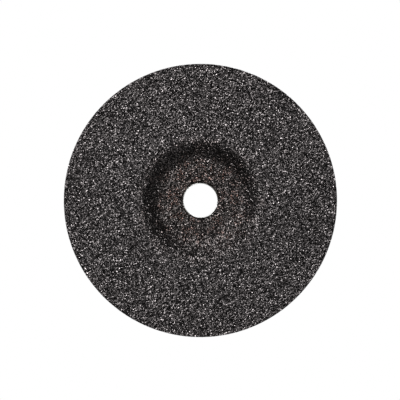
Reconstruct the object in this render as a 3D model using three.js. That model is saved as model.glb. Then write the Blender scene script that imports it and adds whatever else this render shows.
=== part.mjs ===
// A depressed-centre wheel for an angle grinder: three pressed layers of silicon-carbide grain
// in resin, laid up with woven glass nets, around a thin flanged steel ring. A blank paper label
// lies on the back. Millimetres, +Z up.
//
// The wheel stands on edge. It spins about Y, its hollow working face looks towards -Y, and the
// origin is on the spin axis, halfway through the wheel's whole depth. Depths below are counted
// from the working face towards the back.

import * as THREE from "three";

// Driving dimensions
const wheelRadius = 90;
const boreRadius = 22.23 / 2;
const hubSink = 4.25; // how far the hub's floor lies behind the working face
const floorRadius = 24.4; // flat floor of the hub, seen from the working face
const recessRadius = 40; // where the recess runs out into the flat working face
const floorFillet = 7; // radial run of the curve from the floor into the wall
const recessFillet = 4; // radial run of the curve from the wall into the face
const wallSpread = 0.2; // radial shift per mm of depth, which keeps the wall's thickness even
const turns = 60; // flats round the wheel

// The lay-up, front to back
const faceLayer = 1.8;
const coreLayer = 1.3;
const rearLayer = 1.65;
const netThickness = 0.35;
const bond = 0.04; // clearance between neighbouring solids

// Bore, rim and back details
const ringWall = 0.4;
const ringInset = 1; // the ring stops this far short of the hub's floor
const ringBend = 0.5;
const flangeRadius = 15.5;
const labelThickness = 0.3;
const labelRadius = 62;
const hubNetRadius = 44;
const netInset = 0.1; // the full-size nets stop this far inside the rim
const backNetInset = 0.6;
const rimEdge = 0.4;
const boreLip = 1.2; // rounded edge of the hub's floor at the bore
const lipSteps = 3;

// Depths of each piece's front and back, on the flat outer part of the wheel
const frontNetDepth = faceLayer + bond;
const coreDepth = frontNetDepth + netThickness + bond;
const middleNetDepth = coreDepth + coreLayer + bond;
const rearDepth = middleNetDepth + netThickness + bond;
const rearNetDepth = rearDepth + rearLayer + bond;
const hubNetDepth = rearNetDepth + netThickness + bond;
const labelDepth = hubNetDepth + netThickness + bond;
const wholeDepth = hubSink + labelDepth + labelThickness;

const bodyBore = boreRadius + ringWall + bond;

// How far the hub's pressing moves a point back. The slope grows evenly over the floor's fillet,
// is constant down the wall, and fades evenly over the recess's fillet.
const wallRun = recessRadius - floorRadius - floorFillet / 2 - recessFillet / 2;
const wallSlope = hubSink / wallRun;

function sinkAt(radius, depth) {
  const r = radius - wallSpread * depth;
  if (r <= floorRadius) return hubSink;
  if (r >= recessRadius) return 0;
  const fromFloor = r - floorRadius;
  if (fromFloor < floorFillet) return hubSink - (wallSlope * fromFloor ** 2) / (2 * floorFillet);
  const toEdge = recessRadius - r;
  if (toEdge < recessFillet) return (wallSlope * toEdge ** 2) / (2 * recessFillet);
  return wallSlope * (toEdge - recessFillet / 2);
}

// A dished surface as [radius, depth] points, from the inner radius to the outer one
function dishedSurface(depth, inner, outer) {
  const corners = [
    floorRadius,
    floorRadius + floorFillet / 2,
    floorRadius + floorFillet,
    recessRadius - recessFillet,
    recessRadius,
  ].map((r) => r + wallSpread * depth);
  const radii = [inner, ...corners.filter((r) => r > inner && r < outer), outer];
  return radii.map((r) => [r, depth + sinkAt(r, depth)]);
}

// Turns a closed outline of [radius, depth] points about the spin axis
function turned(name, outline, look) {
  const points = [...outline, outline[0]].map(
    ([radius, depth]) => new THREE.Vector2(radius, depth - wholeDepth / 2),
  );
  const material = new THREE.MeshStandardMaterial(look);
  const mesh = new THREE.Mesh(new THREE.LatheGeometry(points, turns), material);
  mesh.name = name;
  return mesh;
}

// A dished plate between two depths
function plate(name, depth, thickness, inner, outer, look) {
  const front = dishedSurface(depth, inner, outer);
  const back = dishedSurface(depth + thickness, inner, outer);
  return turned(name, [...front, ...back.reverse()], look);
}

const grain = { color: 0x403b3a, roughness: 0.75, metalness: 0 };
const glassNet = { color: 0x8a8168, roughness: 0.6, metalness: 0 };
const steel = { color: 0xc8c8c4, roughness: 0.3, metalness: 1 };
const paper = { color: 0xbcbab5, roughness: 0.85, metalness: 0 };

// The working layer has a rounded edge at the bore and a slightly blunt rim.
function faceAbrasiveLayer() {
  const floorEdge = bodyBore + boreLip;
  const lip = [];
  for (let step = 0; step < lipSteps; step += 1) {
    const angle = (step / lipSteps) * (Math.PI / 2);
    const radius = floorEdge - boreLip * Math.cos(angle);
    lip.push([radius, hubSink + boreLip * (1 - Math.sin(angle))]);
  }
  const front = dishedSurface(0, floorEdge, wheelRadius - rimEdge);
  const rim = [[wheelRadius, rimEdge]];
  const back = dishedSurface(faceLayer, bodyBore, wheelRadius);
  return turned("face_abrasive_layer", [...lip, ...front, ...rim, ...back.reverse()], grain);
}

// A sleeve through the bore with a flange on the back, flush with the label
function boreRing() {
  const sleeveRadius = boreRadius + ringWall;
  const sleeveFront = hubSink + ringInset;
  const flangeFront = hubSink + labelDepth;
  const back = wholeDepth;
  const outline = [
    [boreRadius, sleeveFront],
    [sleeveRadius, sleeveFront],
    [sleeveRadius, flangeFront],
    [flangeRadius, flangeFront],
    [flangeRadius, back],
    [boreRadius + ringBend, back],
    [boreRadius, back - ringBend],
  ];
  return turned("bore_ring", outline, steel);
}

// The label covers the hub net's edge, and steps down past it onto the rear net.
function backLabel() {
  const inner = flangeRadius + bond;
  const netEdge = hubNetRadius + bond;
  const stepEnd = netEdge + 2 * netThickness;
  const surface = (lift) => [
    ...dishedSurface(labelDepth + lift, inner, netEdge),
    ...dishedSurface(hubNetDepth + lift, stepEnd, labelRadius),
  ];
  return turned("back_label", [...surface(0), ...surface(labelThickness).reverse()], paper);
}

const wheel = new THREE.Group();
const netRadius = wheelRadius - netInset;

wheel.add(faceAbrasiveLayer());
wheel.add(plate("front_glass_mesh", frontNetDepth, netThickness, bodyBore, netRadius, glassNet));
wheel.add(plate("core_abrasive_layer", coreDepth, coreLayer, bodyBore, wheelRadius, grain));
wheel.add(plate("middle_glass_mesh", middleNetDepth, netThickness, bodyBore, netRadius, glassNet));
wheel.add(plate("rear_abrasive_layer", rearDepth, rearLayer, bodyBore, wheelRadius, grain));
wheel.add(
  plate("rear_glass_mesh", rearNetDepth, netThickness, bodyBore, wheelRadius - backNetInset, glassNet),
);
wheel.add(plate("hub_glass_mesh", hubNetDepth, netThickness, bodyBore, hubNetRadius, glassNet));
wheel.add(boreRing());
wheel.add(backLabel());

export default wheel;
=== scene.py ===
"""A depressed-centre angle grinder wheel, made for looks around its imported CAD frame.

The grain of the abrasive layers is real geometry: points are scattered over a layer's skin, each
is lifted or sunk by itself, and they are joined into small tilted facets with pits between. The
net on the back is woven from real yarns. Sizes are in metres. Depths are counted from the working
face towards the back, along +Y.
"""

import math

import bmesh
import bpy
import numpy as np
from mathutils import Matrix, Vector
from mathutils.geometry import delaunay_2d_cdt


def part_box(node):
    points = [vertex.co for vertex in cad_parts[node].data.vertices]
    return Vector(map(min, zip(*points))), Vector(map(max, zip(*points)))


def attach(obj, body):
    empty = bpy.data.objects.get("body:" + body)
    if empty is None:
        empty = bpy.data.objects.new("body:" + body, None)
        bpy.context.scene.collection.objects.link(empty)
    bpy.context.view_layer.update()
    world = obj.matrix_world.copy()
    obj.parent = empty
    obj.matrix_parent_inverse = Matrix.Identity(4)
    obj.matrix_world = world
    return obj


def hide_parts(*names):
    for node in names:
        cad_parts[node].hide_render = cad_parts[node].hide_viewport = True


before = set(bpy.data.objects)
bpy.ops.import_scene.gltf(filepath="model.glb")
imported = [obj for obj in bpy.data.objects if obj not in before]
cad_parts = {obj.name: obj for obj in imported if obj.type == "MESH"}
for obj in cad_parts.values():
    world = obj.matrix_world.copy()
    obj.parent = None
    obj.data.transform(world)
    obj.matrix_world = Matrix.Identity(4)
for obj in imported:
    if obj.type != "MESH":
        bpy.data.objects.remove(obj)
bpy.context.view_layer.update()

MM = 0.001
TAU = 2 * math.pi

# The dished shape, as the CAD model has it
HUB_SINK = 4.25 * MM
FLOOR_RADIUS = 24.4 * MM
RECESS_RADIUS = 40 * MM
FLOOR_FILLET = 7 * MM
RECESS_FILLET = 4 * MM
WALL_SPREAD = 0.2
WALL_SLOPE = HUB_SINK / (RECESS_RADIUS - FLOOR_RADIUS - FLOOR_FILLET / 2 - RECESS_FILLET / 2)

FACE_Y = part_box("face_abrasive_layer")[0][1]
WHEEL_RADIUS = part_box("face_abrasive_layer")[1][0]
HUB_NET_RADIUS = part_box("hub_glass_mesh")[1][0]
LABEL_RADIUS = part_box("back_label")[1][0]
FLANGE_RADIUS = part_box("bore_ring")[1][0]
BORE_RADIUS = 22.23 / 2 * MM
RING_WALL = 0.4 * MM
GAP = 0.04 * MM  # clearance between neighbouring pieces
BODY_BORE = BORE_RADIUS + RING_WALL + GAP
BORE_LIP = 1.2 * MM  # rounding of the working layer's edge at the bore
RIM_EDGE = 0.4 * MM  # rounding of the wheel's rim
RIM_START = WHEEL_RADIUS - RIM_EDGE

# How finely the surfaces without grain are cut up, with rings closest together on the hub's wall
RIM_POINTS = 800
BORE_POINTS = 110
RING_POINTS = 120
WALL_RINGS = range(24, 42)
DISH_RINGS = [r * MM for r in (21, *WALL_RINGS, 50, 60, 70, 80)]


def lay_up(node):
    """A node's front and back depth on the flat outer part of the wheel."""
    low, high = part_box(node)
    return low[1] - FACE_Y, high[1] - FACE_Y - HUB_SINK


def sink(radius, depth):
    """How far back the pressed hub moves a surface that lies at this depth in the lay-up."""
    r = np.asarray(radius) - WALL_SPREAD * depth
    from_floor = np.clip(r - FLOOR_RADIUS, 0, None)
    to_edge = np.clip(RECESS_RADIUS - r, 0, None)
    by_floor = HUB_SINK - WALL_SLOPE * from_floor**2 / (2 * FLOOR_FILLET)
    by_edge = WALL_SLOPE * to_edge**2 / (2 * RECESS_FILLET)
    wall = WALL_SLOPE * (to_edge - RECESS_FILLET / 2)
    outside_floor = np.where(to_edge < RECESS_FILLET, by_edge, wall)
    return np.where(from_floor < FLOOR_FILLET, by_floor, outside_floor)


# ---------------------------------------------------------------- meshes

SHARP_ANGLE = 0.6  # radians between faces, from which their edge is sharp
SAME_PLACE = 1e-8  # points closer than this are joined
FLAT_TRIANGLE = 1e-14  # twice the area of the smallest triangle that is kept
TINY = 1e-12  # keeps a division from failing at zero
POINT_SHARE = 0.866  # area that one point takes, as a share of its spacing squared


def add_mesh(name, verts, faces, smooth=False):
    mesh = bpy.data.meshes.new(name)
    mesh.from_pydata([tuple(v) for v in verts], [], faces)
    mesh.polygons.foreach_set("use_smooth", [smooth] * len(mesh.polygons))
    mesh.update()
    piece = bpy.data.objects.new(name, mesh)
    bpy.context.scene.collection.objects.link(piece)
    return piece


def finish_piece(piece, material, node):
    """Gives a piece its material, hides the CAD node that it stands for, and hangs it on the root
    body.
    """
    piece.data.materials.append(material)
    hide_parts(node)
    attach(piece, "root")


def rework(piece, change):
    """Runs change on the piece's mesh, opened for editing."""
    work = bmesh.new()
    work.from_mesh(piece.data)
    change(work)
    work.to_mesh(piece.data)
    work.free()


def drop_loose(work):
    """Removes vertices that no face uses."""
    loose = [vert for vert in work.verts if not vert.link_faces]
    bmesh.ops.delete(work, geom=loose, context="VERTS")


def face_outwards(work):
    bmesh.ops.recalc_face_normals(work, faces=work.faces)


def sharpen_edges(work):
    """Shades the mesh smooth apart from its sharp edges."""
    for edge in work.edges:
        edge.smooth = edge.calc_face_angle(0) < SHARP_ANGLE


def triangulate(points):
    """Delaunay triangles over 2-D points, anticlockwise, as an array of point numbers."""
    result = delaunay_2d_cdt([Vector(p) for p in points], [], [], 0, SAME_PLACE)
    original = np.array([group[0] for group in result[3]])
    faces = original[np.array(result[2])]
    a, b, c = (points[faces[:, k]] for k in range(3))
    turn = (b - a)[:, 0] * (c - a)[:, 1] - (b - a)[:, 1] * (c - a)[:, 0]
    faces[turn < 0] = faces[turn < 0][:, ::-1]
    return faces[np.abs(turn) > FLAT_TRIANGLE]


def polar(radius, angle):
    return np.stack([radius * np.cos(angle), radius * np.sin(angle)], axis=1)


def circle(radius, count):
    return polar(radius, np.arange(count) * TAU / count)


def scatter(rng, inner, outer, spacing, fixed, rounds=3):
    """Evenly spaced random points between two circles, eased apart from each other and from fixed."""
    count = int(math.pi * (outer**2 - inner**2) / (POINT_SHARE * spacing**2))
    radius = np.sqrt(rng.uniform(inner**2, outer**2, count))
    angle = rng.uniform(0, TAU, count)
    points = polar(radius, angle)
    for _ in range(rounds):
        everything = np.concatenate([points, fixed])
        faces = triangulate(everything)
        total = np.zeros_like(everything)
        share = np.zeros(len(everything))
        for k in range(3):
            for other in (1, 2):
                np.add.at(total, faces[:, k], everything[faces[:, (k + other) % 3]])
                np.add.at(share, faces[:, k], 1)
        points = (total / np.maximum(share, 1)[:, None])[: len(points)]
        size = np.hypot(*points.T)
        points *= (np.clip(size, inner, outer) / size)[:, None]
    return points


# ---------------------------------------------------------------- abrasive layers

LIP_STEPS = 9
FACE_STEPS = 400
EDGE_STEPS = 5


class Skin:
    """One side of a dished layer, with its bore wall and its rim, unrolled onto a flat ring.

    side is 1 for the front and -1 for the back. Each corner is a flat radius, and the true radius
    and depth that it stands for.
    """

    def __init__(self, front, back, side, lip, edge):
        self.side = side
        near, far = (front, back) if side > 0 else (back, front)
        thickness = back - front
        lip_end = BODY_BORE + lip
        lip_start = lip_end - lip * math.pi / 2
        floor = near + HUB_SINK
        corners = [(lip_start - thickness + lip, BODY_BORE, far + HUB_SINK)]
        for a in np.linspace(0, math.pi / 2, LIP_STEPS if lip else 1):
            depth = floor + side * lip * (1 - math.sin(a))
            corners.append((lip_start + lip * a, lip_end - lip * math.cos(a), depth))
        edge_start = WHEEL_RADIUS - edge
        for r in np.linspace(lip_end, edge_start, FACE_STEPS)[1:]:
            corners.append((r, r, near + float(sink(r, near))))
        for a in np.linspace(0, math.pi / 2, EDGE_STEPS if edge else 1)[1:]:
            depth = near + side * edge * (1 - math.cos(a))
            corners.append((edge_start + edge * a, edge_start + edge * math.sin(a), depth))
        corners.append((corners[-1][0] + thickness - edge, WHEEL_RADIUS, far))
        self.flat, self.radius, self.depth = np.array(corners).T

    def place(self, points, height):
        """3-D places of 2-D points on the skin, raised by height along the skin's normal."""
        flat = np.hypot(*points.T)
        radius = np.interp(flat, self.flat, self.radius)
        depth = np.interp(flat, self.flat, self.depth)
        reach = 0.1 * MM
        ends = [np.clip(flat + step, self.flat[0], self.flat[-1]) for step in (-reach, reach)]
        run = np.subtract(*[np.interp(end, self.flat, self.radius) for end in reversed(ends)])
        rise = np.subtract(*[np.interp(end, self.flat, self.depth) for end in reversed(ends)])
        length = np.maximum(np.hypot(run, rise), TINY)
        radius = radius + height * self.side * rise / length
        depth = depth - height * self.side * run / length
        spoke = points / np.maximum(flat, TINY)[:, None]
        return np.stack([radius * spoke[:, 0], FACE_Y + depth, radius * spoke[:, 1]], axis=1)


def plain_lid(skin, depth, shift):
    """The layer's other side: its own ring vertices, and faces that share the skin's edge loops.

    The skin's vertices start with those loops. shift is the number of skin vertices.
    """
    edges = BORE_POINTS + RIM_POINTS
    loops = [circle(skin.radius[0], BORE_POINTS), circle(skin.radius[-1], RIM_POINTS)]
    rings = np.concatenate([circle(r, RING_POINTS) for r in DISH_RINGS])
    faces = triangulate(np.concatenate([*loops, rings]))
    faces = faces[~(faces < BORE_POINTS).all(axis=1)][:, ::-1]
    y = FACE_Y + depth + sink(np.hypot(*rings.T), depth)
    verts = np.stack([rings[:, 0], y, rings[:, 1]], axis=1)
    return verts, np.where(faces < edges, faces, faces + shift - edges)


LID_TONE = 0.3  # grain tone of the smooth side


def gritty_layer(name, node, seed, side, lip, edge, grit_from, looks, smooth_rings=()):
    """A closed layer whose skin carries grain from a flat radius out to the rim's far edge.

    Inside that radius the skin is smooth, over the points of smooth_rings.
    """
    rng = np.random.default_rng(seed)
    front, back = lay_up(node)
    skin = Skin(front, back, side, lip, edge)
    loops = [circle(skin.flat[0], BORE_POINTS), circle(skin.flat[-1], RIM_POINTS)]
    rings = [circle(r, RING_POINTS) for r in smooth_rings]
    fixed = np.concatenate([*loops, *rings])
    grit_start = max(grit_from, skin.flat[0] + looks["spacing"])
    grit_end = skin.flat[-1] - looks["spacing"] / 2
    points = np.concatenate([fixed, scatter(rng, grit_start, grit_end, looks["spacing"], fixed)])
    faces = triangulate(points)
    faces = faces[~(faces < BORE_POINTS).all(axis=1)]

    # each point is a grain's peak or a dent, and some are deep pits
    grain = np.arange(len(points)) >= len(fixed)
    pit = grain & (rng.uniform(0, 1, len(points)) < looks["pit_share"])
    heights = rng.normal(looks["level"], looks["spread"], len(points))
    heights -= pit * looks["pit_depth"] * rng.uniform(0.4, 1, len(points))
    heights = np.clip(heights, looks["lowest"], looks["highest"])
    heights = np.where(grain, heights, looks["level"])
    tones = rng.uniform(0, 1, len(faces))

    far = back if side > 0 else front
    lid_verts, lid_faces = plain_lid(skin, far, len(points))
    verts = np.concatenate([skin.place(points, heights), lid_verts])
    every = np.concatenate([faces, lid_faces])
    piece = add_mesh(name, verts, (every if side > 0 else every[:, ::-1]).tolist())
    layer = piece.data.attributes.new("grain_tone", "FLOAT", "FACE")
    layer.data.foreach_set("value", np.concatenate([tones, np.full(len(lid_faces), LID_TONE)]))
    rework(piece, drop_loose)
    return piece


FACE_LOOKS = {
    "spacing": 0.57 * MM,
    "level": -0.2 * MM,
    "spread": 0.062 * MM,
    "lowest": -0.7 * MM,
    "highest": -0.02 * MM,
    "pit_share": 0.1,
    "pit_depth": 0.35 * MM,
}
BACK_LOOKS = FACE_LOOKS | {"spacing": 0.75 * MM, "level": -0.1 * MM, "highest": 0}


# ---------------------------------------------------------------- turned pieces and nets

# Flats round each turned piece
RING_TURNS = 240
NET_TURNS = 360
LABEL_TURNS = 432


def turned(name, outline, turns, smooth=True):
    """Turns a closed outline of (radius, depth) points about the spin axis."""
    angle = np.arange(turns) * TAU / turns
    verts = [
        (r * math.cos(a), FACE_Y + depth, r * math.sin(a)) for a in angle for r, depth in outline
    ]
    count = len(outline)
    faces = []
    for i in range(turns):
        for k in range(count):
            this, after = i * count, (i + 1) % turns * count
            nxt = (k + 1) % count
            faces.append((this + k, this + nxt, after + nxt, after + k))
    piece = add_mesh(name, verts, faces, smooth)
    rework(piece, face_outwards)
    return piece


def rounded(corners, steps=5):
    """A closed outline whose corners, given as (radius, depth, rounding), are turned into arcs."""
    points = []
    for i, (x, y, rounding) in enumerate(corners):
        here = np.array([x, y])
        before = np.array(corners[i - 1][:2]) - here
        after = np.array(corners[(i + 1) % len(corners)][:2]) - here
        a = here + before / np.hypot(*before) * rounding
        b = here + after / np.hypot(*after) * rounding
        for t in np.linspace(0, 1, steps):
            points.append((1 - t) ** 2 * a + 2 * t * (1 - t) * here + t**2 * b)
    return [tuple(p) for p in points]


def bore_ring():
    low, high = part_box("bore_ring")
    start, end = low[1] - FACE_Y, high[1] - FACE_Y
    sleeve = BORE_RADIUS + RING_WALL
    flange_front = lay_up("hub_glass_mesh")[1] + GAP + HUB_SINK
    bead = RING_WALL / 2 - 0.01 * MM
    corners = [
        (BORE_RADIUS, start, bead),
        (sleeve, start, bead),
        (sleeve, flange_front, 0.04 * MM),
        (FLANGE_RADIUS, flange_front, 0.08 * MM),
        (FLANGE_RADIUS, end, 0.12 * MM),
        (BORE_RADIUS, end, 0.6 * MM),
    ]
    return turned("flanged_bore_ring", rounded(corners), RING_TURNS)


YARN_PITCH = 3.6 * MM
YARN_WIDTH = 1.25 * MM
YARN_WIDTHS = (0.88, 1.1)  # narrowest and widest yarn, as shares of that width
YARN_STRAY = 0.08 * MM  # how far a whole yarn lies from its place
YARN_WANDER = 0.02 * MM  # how far it moves aside from one crossing to the next
YARN_SWING = 0.25  # how far a yarn rises and falls, as a share of half the net's depth
YARN_SIDES = 6
YARN_END = 0.3 * MM  # yarns stop this far inside the net's outline
YARN_GAP = 0.5 * MM  # and this far outside its bore


def yarn_spans(across, inner, outer):
    """Where a yarn at this distance from the axis starts and ends: one length, or two by the bore."""
    reach = math.sqrt((outer - YARN_END) ** 2 - (abs(across) + YARN_WIDTH / 2) ** 2)
    if abs(across) >= inner:
        return [(-reach, reach)]
    gap = math.sqrt(inner**2 - across**2) + YARN_GAP
    return [(-reach, -gap), (gap, reach)]


def tube_faces(first, count, way):
    """Faces of a closed yarn with this many sections, whose vertices start at first."""
    faces = []
    for i in range(count - 1):
        for k in range(YARN_SIDES):
            a = first + i * YARN_SIDES + k
            b = first + i * YARN_SIDES + (k + 1) % YARN_SIDES
            faces.append((a, b, b + YARN_SIDES, a + YARN_SIDES))
    start = tuple(range(first, first + YARN_SIDES))
    end = tuple(k + (count - 1) * YARN_SIDES for k in start)
    faces += [start[::-1], end]
    return faces if way == 0 else [face[::-1] for face in faces]


def woven_net(name, node, seed, inner, outer):
    """Flat glass yarns in two directions, each passing over and under the next."""
    rng = np.random.default_rng(seed)
    front, back = lay_up(node)
    middle = (front + back) / 2
    swing = YARN_SWING * (back - front) / 2
    half_depth = (back - front) / 2 - swing
    corners = np.arange(YARN_SIDES) * TAU / YARN_SIDES
    section = [(math.cos(a), math.sin(a)) for a in corners]
    crossing = YARN_PITCH / 2
    verts, faces, ways = [], [], []
    last = int(outer / YARN_PITCH)
    for way in (0, 1):
        for number in range(-last - 1, last + 1):
            across = (number + 0.5) * YARN_PITCH + rng.normal(0, YARN_STRAY)
            if abs(across) > outer - YARN_WIDTH:
                continue
            half_width = YARN_WIDTH / 2 * rng.uniform(*YARN_WIDTHS)
            sign = 1 if (number + way) % 2 else -1
            for start, end in yarn_spans(across, inner, outer):
                steps = np.arange(math.ceil(start / crossing), math.floor(end / crossing) + 1)
                along = np.concatenate([[start], steps * crossing, [end]])
                lift = sign * swing * np.sin(math.pi * along / YARN_PITCH)
                wander = across + np.cumsum(rng.normal(0, YARN_WANDER, len(along)))
                first = len(verts)
                for s, c, rise in zip(along, wander, lift):
                    depth = middle + float(sink(math.hypot(s, c), middle)) + rise
                    for u, v in section:
                        side = c + u * half_width
                        x, z = (s, side) if way == 0 else (side, s)
                        verts.append((x, FACE_Y + depth + v * half_depth, z))
                added = tube_faces(first, len(along), way)
                faces += added
                ways += [float(way)] * len(added)
    piece = add_mesh(name, verts, faces, smooth=True)
    layer = piece.data.attributes.new("yarn_way", "FLOAT", "FACE")
    layer.data.foreach_set("value", ways)
    return piece


FRAY = 0.25 * MM  # the ragged edge ends up to this far inside the net's outline


def inner_net(name, node, seed):
    """A dished net pressed flat between two layers of grain, with a ragged edge at the rim."""
    rng = np.random.default_rng(seed)
    front, back = lay_up(node)
    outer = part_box(node)[1][0]
    radii = [BODY_BORE, *(r for r in DISH_RINGS if r < outer - MM), outer]
    outline = [(r, front + float(sink(r, front))) for r in radii]
    outline += [(r, back + float(sink(r, back))) for r in reversed(radii)]
    piece = turned(name, outline, NET_TURNS, smooth=False)
    shortfall = rng.uniform(0, FRAY, len(piece.data.vertices))
    for vert, short in zip(piece.data.vertices, shortfall):
        radius = math.hypot(vert.co.x, vert.co.z)
        if radius > outer - 0.1 * MM:
            vert.co.x *= 1 - short / radius
            vert.co.z *= 1 - short / radius
    return piece


EMBOSS = 0.14 * MM  # how deep the weave shows in the label
LABEL_STEP = 0.7 * MM  # the label steps down past the hub net over this distance
LABEL_RING = 0.9 * MM  # distance between the label's rings of vertices
NICK = 0.12 * MM  # unevenness of the label's cut edge
NICK_RUN = 7
PRESSED_RADIUS = 21 * MM  # inside it the grinder's flange has flattened the weave
PRESSED_FADE = 6 * MM


def back_label():
    """The paper ring, pressed down onto the yarns under it."""
    rng = np.random.default_rng(31)
    inner = FLANGE_RADIUS + GAP
    net_edge = HUB_NET_RADIUS + GAP
    step = [net_edge, net_edge + LABEL_STEP]
    high = lay_up("hub_glass_mesh")[1] + GAP
    low = high - (lay_up("hub_glass_mesh")[0] - lay_up("rear_glass_mesh")[0])
    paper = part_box("back_label")[1][1] - FACE_Y - HUB_SINK - high
    turns = LABEL_TURNS
    last_ring = LABEL_RADIUS - 0.4 * MM
    radii = np.concatenate([np.arange(inner, last_ring, LABEL_RING), [LABEL_RADIUS]])
    angle = np.arange(turns) * TAU / turns
    nicks = np.convolve(rng.normal(0, NICK, turns), np.ones(NICK_RUN) / NICK_RUN, "same")
    verts, faces = [], []
    for lift in (0, 1):
        for r in radii:
            ring = LABEL_RADIUS - np.abs(nicks) if r == LABEL_RADIUS else np.full(turns, r)
            x, z = ring * np.cos(angle), ring * np.sin(angle)
            base = np.interp(r, step, [high, low])
            weave = (2 + np.cos(TAU * x / YARN_PITCH) + np.cos(TAU * z / YARN_PITCH)) / 4
            unpressed = np.clip((r - PRESSED_RADIUS) / PRESSED_FADE, 0.15, 1)
            depth = base + sink(ring, base) + lift * paper
            depth = depth - lift * EMBOSS * weave * unpressed
            verts += [(a, FACE_Y + d, b) for a, d, b in zip(x, depth, z)]

    rows = len(radii)
    under = [(row, row + 1) for row in range(rows - 1)]
    over = [(row + rows, after + rows) for row, after in under]
    rim_wall, inner_wall = (rows - 1, 2 * rows - 1), (rows, 0)
    for row, after in [*under, rim_wall, *over, inner_wall]:
        for i in range(turns):
            j = (i + 1) % turns
            faces.append((row * turns + i, row * turns + j, after * turns + j, after * turns + i))
    piece = add_mesh("blank_back_label", verts, faces, smooth=True)
    rework(piece, face_outwards)
    rework(piece, sharpen_edges)
    return piece


# ---------------------------------------------------------------- materials


class Material:
    """A principled material and short ways to add and join its nodes."""

    def __init__(self, name, **constants):
        self.data = bpy.data.materials.new(name)
        self.data.use_nodes = True
        self.nodes, self.links = self.data.node_tree.nodes, self.data.node_tree.links
        self.shader = self.nodes["Principled BSDF"]
        for socket, value in constants.items():
            self.shader.inputs[socket.replace("_", " ")].default_value = value

    def add(self, kind, inputs, output=0, **settings):
        """Adds a node. Inputs are numbers, colours or other nodes' outputs, by name or number."""
        node = self.nodes.new("ShaderNode" + kind)
        for setting, value in settings.items():
            setattr(node, setting, value)
        for socket, value in inputs.items():
            if isinstance(value, bpy.types.NodeSocket):
                self.links.new(value, node.inputs[socket])
            else:
                node.inputs[socket].default_value = value
        return node.outputs[output]

    def maths(self, operation, *values):
        return self.add("Math", dict(enumerate(values)), operation=operation)

    def mix(self, factor, first, second):
        return self.add("Mix", {0: factor, 6: first, 7: second}, output=2, data_type="RGBA")

    def steps(self, value, low, high, to_low=0.0, to_high=1.0):
        """Maps value from low..high to to_low..to_high, kept within them."""
        inputs = {0: value, 1: low, 2: high, 3: to_low, 4: to_high}
        return self.add("MapRange", inputs)

    def place(self):
        return self.add("TexCoord", {}, output="Object")

    def radius(self):
        """Distance from the spin axis."""
        flat = self.add("VectorMath", {0: self.place(), 1: (1, 0, 1)}, operation="MULTIPLY")
        return self.add("VectorMath", {0: flat}, output="Value", operation="LENGTH")

    def noise(self, size, detail=2.0):
        return self.add("TexNoise", {"Vector": self.place(), "Scale": 1 / size, "Detail": detail})

    def cells(self, size):
        """Three random numbers for each cell of about this size."""
        inputs = {"Vector": self.place(), "Scale": 1 / size}
        return self.add("TexVoronoi", inputs, output="Color")

    def bump(self, height, distance, strength=1.0):
        return self.add("Bump", {"Height": height, "Distance": distance, "Strength": strength})

    def set(self, socket, value):
        self.links.new(value, self.shader.inputs[socket])


CRYSTAL = 0.4 * MM

# A cell's random numbers run from 0 to 1. From these on it is bare, glossy or reddish.
BARE_FROM = 0.42
GLOSSY_FROM = 0.8
REDDISH_FROM = 0.7
HUB_TINT = (20 * MM, 44 * MM)  # full inside the first radius, none past the second
LEAN = np.array([0.33, 0.2, 0.33])  # least along the spin axis, whose number also picks the kind


def abrasive_material():
    """Black grain in resin: small cells that are dull, bare or glossy and lean their own way."""
    m = Material("black_silicon_carbide", IOR=1.22)
    tone = m.add("Attribute", {}, output="Fac", attribute_name="grain_tone")
    colour = m.mix(tone, (0.055, 0.051, 0.051, 1), (0.295, 0.271, 0.271, 1))

    # a cell is either dull resin or a bare grain, which is duller or glossier
    _, kind, reddish = m.add("SeparateColor", {0: m.cells(CRYSTAL)}).node.outputs
    bare = m.maths("GREATER_THAN", kind, BARE_FROM)
    glossy = m.maths("GREATER_THAN", kind, GLOSSY_FROM)
    grain_rough = m.steps(glossy, 0, 1, 0.37, 0.28)
    m.set("Roughness", m.add("Mix", {0: bare, 2: 0.7, 3: grain_rough}))
    m.set("Metallic", bare)

    # warmer, with brown grains, towards the hub
    hub = m.steps(m.radius(), *HUB_TINT, 1, 0)
    clouds = m.steps(m.noise(7 * MM), 0.4, 0.6)
    colour = m.mix(m.maths("MULTIPLY", hub, 0.6), colour, (0.169, 0.149, 0.142, 1))
    brown = m.maths("GREATER_THAN", reddish, REDDISH_FROM)
    brown = m.maths("MULTIPLY", brown, m.maths("MULTIPLY", hub, clouds))
    colour = m.mix(brown, colour, (0.17, 0.10, 0.083, 1))
    m.set("Base Color", m.mix(bare, (0.003, 0.0027, 0.0027, 1), colour))

    # each small crystal face leans its own way
    lean_inputs = {0: m.cells(CRYSTAL), 1: LEAN, 2: -LEAN / 2}
    lean = m.add("VectorMath", lean_inputs, operation="MULTIPLY_ADD")
    normal = m.add("NewGeometry", {}, output="Normal")
    total = m.add("VectorMath", {0: normal, 1: lean}, operation="ADD")
    m.set("Normal", m.add("VectorMath", {0: total}, operation="NORMALIZE"))
    return m.data


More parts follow.
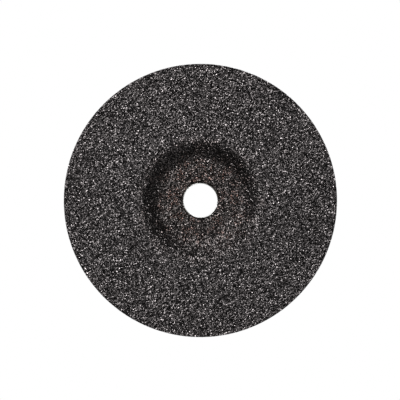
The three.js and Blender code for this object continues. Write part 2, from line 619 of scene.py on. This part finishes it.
def glass_material():
    """Resin-soaked glass yarn: fine threads along it, dark where resin and dust have filled it."""
    m = Material("resin_soaked_glass", IOR=1.5)
    way = m.add("Attribute", {}, output="Fac", attribute_name="yarn_way")
    split = m.add("SeparateXYZ", {0: m.place()})
    across = m.add("Mix", {0: way, 2: split.node.outputs[2], 3: split.node.outputs[0]})
    along = m.add("Mix", {0: way, 2: split.node.outputs[0], 3: split.node.outputs[2]})
    stretched = m.add("CombineXYZ", {0: m.maths("MULTIPLY", along, 0.04), 1: across, 2: 0.0})
    threads = m.add("TexNoise", {"Vector": stretched, "Scale": 1 / (0.14 * MM), "Detail": 2.0})
    stain = m.steps(m.noise(5 * MM, 4.0), 0.35, 0.65)
    fresh = m.mix(threads, (0.10, 0.085, 0.06, 1), (0.26, 0.23, 0.17, 1))
    soaked = m.mix(threads, (0.035, 0.029, 0.023, 1), (0.12, 0.10, 0.075, 1))
    dusty = m.maths("GREATER_THAN", m.noise(0.5 * MM), 0.62)
    colour = m.mix(stain, soaked, fresh)
    m.set("Base Color", m.mix(dusty, colour, (0.02, 0.019, 0.019, 1)))
    m.set("Roughness", m.steps(threads, 0.3, 0.7, 0.62, 0.42))
    m.set("Normal", m.bump(threads, 0.05 * MM, 0.8))
    return m.data


def steel_material():
    """Bright pressed sheet with fine turning marks."""
    m = Material("bright_ring_steel", Metallic=1.0)
    outward = m.add("CombineXYZ", {0: m.radius()})
    marks = m.add("TexNoise", {"Vector": outward, "Scale": 1 / (0.08 * MM)})
    smudge = m.noise(3 * MM, 3.0)
    m.set("Base Color", m.mix(smudge, (0.70, 0.70, 0.68, 1), (0.84, 0.84, 0.82, 1)))
    m.set("Roughness", m.steps(m.maths("ADD", marks, smudge), 0.7, 1.3, 0.30, 0.46))
    m.set("Normal", m.bump(marks, 0.01 * MM, 0.6))
    return m.data


# Inner and outer radii of the rings printed on the label
PRINTED_RINGS = [
    (56.5 * MM, 60.2 * MM),
    (54.6 * MM, 55.3 * MM),
    (26.0 * MM, 26.8 * MM),
]


def paper_material():
    """Matt label paper with plain printed rings, rubbed and dusted with grit."""
    m = Material("blank_label_paper", IOR=1.45)
    radius = m.radius()
    fibres = m.noise(0.5 * MM, 5.0)
    cloud = m.noise(14 * MM, 4.0)
    paper = m.mix(cloud, (0.46, 0.45, 0.42, 1), (0.56, 0.55, 0.52, 1))
    ink = (0.035, 0.037, 0.04, 1)
    printed = paper
    for inner, outer in PRINTED_RINGS:
        inside = m.maths("GREATER_THAN", radius, inner)
        band = m.maths("MULTIPLY", inside, m.maths("LESS_THAN", radius, outer))
        printed = m.mix(band, printed, ink)
    rubbed = m.steps(m.noise(2.2 * MM, 6.0), 0.56, 0.72, 0, 0.55)
    colour = m.mix(rubbed, printed, (0.24, 0.225, 0.20, 1))
    dust = m.maths("GREATER_THAN", m.noise(0.9 * MM, 1.0), 0.71)
    m.set("Base Color", m.mix(dust, colour, (0.05, 0.047, 0.045, 1)))
    m.set("Roughness", m.steps(fibres, 0.3, 0.7, 0.92, 0.7))
    m.set("Normal", m.bump(fibres, 0.03 * MM, 0.5))
    return m.data


# ---------------------------------------------------------------- pieces

abrasive = abrasive_material()
glass = glass_material()

face = gritty_layer(
    "face_grit",
    "face_abrasive_layer",
    seed=11,
    side=1,
    lip=BORE_LIP,
    edge=RIM_EDGE,
    grit_from=0,
    looks=FACE_LOOKS,
)
finish_piece(face, abrasive, "face_abrasive_layer")

core = gritty_layer(
    "core_grit",
    "core_abrasive_layer",
    seed=12,
    side=1,
    lip=0,
    edge=0,
    grit_from=RIM_START,
    looks=FACE_LOOKS,
    smooth_rings=DISH_RINGS,
)
finish_piece(core, abrasive, "core_abrasive_layer")

UNDER_LABEL = 58 * MM  # no grain is needed inside this radius, under the label
hidden_rings = [r for r in DISH_RINGS if r < UNDER_LABEL]
rear = gritty_layer(
    "rear_grit",
    "rear_abrasive_layer",
    seed=13,
    side=-1,
    lip=0,
    edge=RIM_EDGE,
    grit_from=UNDER_LABEL,
    looks=BACK_LOOKS,
    smooth_rings=hidden_rings,
)
finish_piece(rear, abrasive, "rear_abrasive_layer")

for seed, node in ((21, "front_glass_mesh"), (22, "middle_glass_mesh"), (24, "hub_glass_mesh")):
    net = inner_net(node.replace("glass_mesh", "net"), node, seed)
    finish_piece(net, glass, node)

rear_net_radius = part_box("rear_glass_mesh")[1][0]
rear_net = woven_net("rear_woven_net", "rear_glass_mesh", 23, BODY_BORE, rear_net_radius)
finish_piece(rear_net, glass, "rear_glass_mesh")

finish_piece(bore_ring(), steel_material(), "bore_ring")
finish_piece(back_label(), paper_material(), "back_label")

# ---------------------------------------------------------------- light, floor, camera


def aim(item, target=(0, 0, 0)):
    item.rotation_euler = (Vector(target) - item.location).to_track_quat("-Z", "Y").to_euler()


def softbox(name, off_axis, image_angle, distance, size, power):
    """A square lamp, this many degrees off the line from the wheel to the camera.

    image_angle is the side it stands on, in degrees anticlockwise from the picture's right.
    """
    data = bpy.data.lights.new(name, "AREA")
    data.size = size
    data.energy = power
    lamp = bpy.data.objects.new(name, data)
    lamp.visible_camera = False
    a, b = math.radians(off_axis), math.radians(image_angle)
    lamp.location = (
        distance * math.sin(a) * math.cos(b),
        -distance * math.cos(a),
        distance * math.sin(a) * math.sin(b),
    )
    aim(lamp)
    bpy.context.scene.collection.objects.link(lamp)


# The key and the fill stand as far away as the camera, so the flat face is evenly bright.
VIEW_DISTANCE = 5
softbox("key", off_axis=25, image_angle=120, distance=VIEW_DISTANCE, size=0.9, power=119)
softbox("fill", off_axis=40, image_angle=300, distance=VIEW_DISTANCE, size=0.9, power=12)

# The others light the back and the rim.
NEAR = 1.4
softbox("back_key", off_axis=140, image_angle=70, distance=NEAR, size=0.5, power=8)
softbox("rim_left", off_axis=110, image_angle=165, distance=NEAR, size=0.3, power=12)
softbox("rim_right", off_axis=110, image_angle=15, distance=NEAR, size=0.3, power=12)


def white_world():
    """A background that the camera sees as white, and that hardly lights the wheel."""
    world = bpy.data.worlds.new("studio")
    world.use_nodes = True
    nodes, links = world.node_tree.nodes, world.node_tree.links
    path = nodes.new("ShaderNodeLightPath")
    strength = nodes.new("ShaderNodeMapRange")
    strength.inputs["To Min"].default_value = 0.01
    strength.inputs["To Max"].default_value = 1.0
    background = nodes["Background"]
    background.inputs["Color"].default_value = (1, 1, 1, 1)
    links.new(path.outputs["Is Camera Ray"], strength.inputs["Value"])
    links.new(strength.outputs["Result"], background.inputs["Strength"])
    return world


FLOOR_REACH = 1.3
FLOOR_Z = -0.3


def white_floor():
    """A pale floor well below the wheel. It glows for the camera alone, and lights nothing."""
    look = Material("white_floor", Roughness=0.9, Emission_Strength=1.0)
    look.shader.inputs["Base Color"].default_value = (0.9, 0.9, 0.9, 1)
    look.shader.inputs["Emission Color"].default_value = (1, 1, 1, 1)
    look.data.cycles.emission_sampling = "NONE"
    around = ((-1, -1), (1, -1), (1, 1), (-1, 1))
    corners = [(FLOOR_REACH * x, FLOOR_REACH * y, FLOOR_Z) for x, y in around]
    floor = add_mesh("floor", corners, [(0, 1, 2, 3)])
    floor.data.materials.append(look.data)
    floor.visible_diffuse = False
    floor.visible_glossy = False
    floor.visible_shadow = False
    return floor


bpy.context.scene.world = white_world()
floor = white_floor()

# The camera looks straight at the working face, with its axis a little off the wheel's centre.
VIEW_X = -0.27 * MM
VIEW_Z = 0.31 * MM
camera_data = bpy.data.cameras.new("camera")
camera_data.sensor_width = 36
camera_data.lens = 683.6
camera = bpy.data.objects.new("camera", camera_data)
camera.location = (VIEW_X, -VIEW_DISTANCE, VIEW_Z)
aim(camera, (VIEW_X, 0, VIEW_Z))
bpy.context.scene.collection.objects.link(camera)
bpy.context.scene.camera = camera
bpy.context.scene.view_settings.view_transform = "Standard"
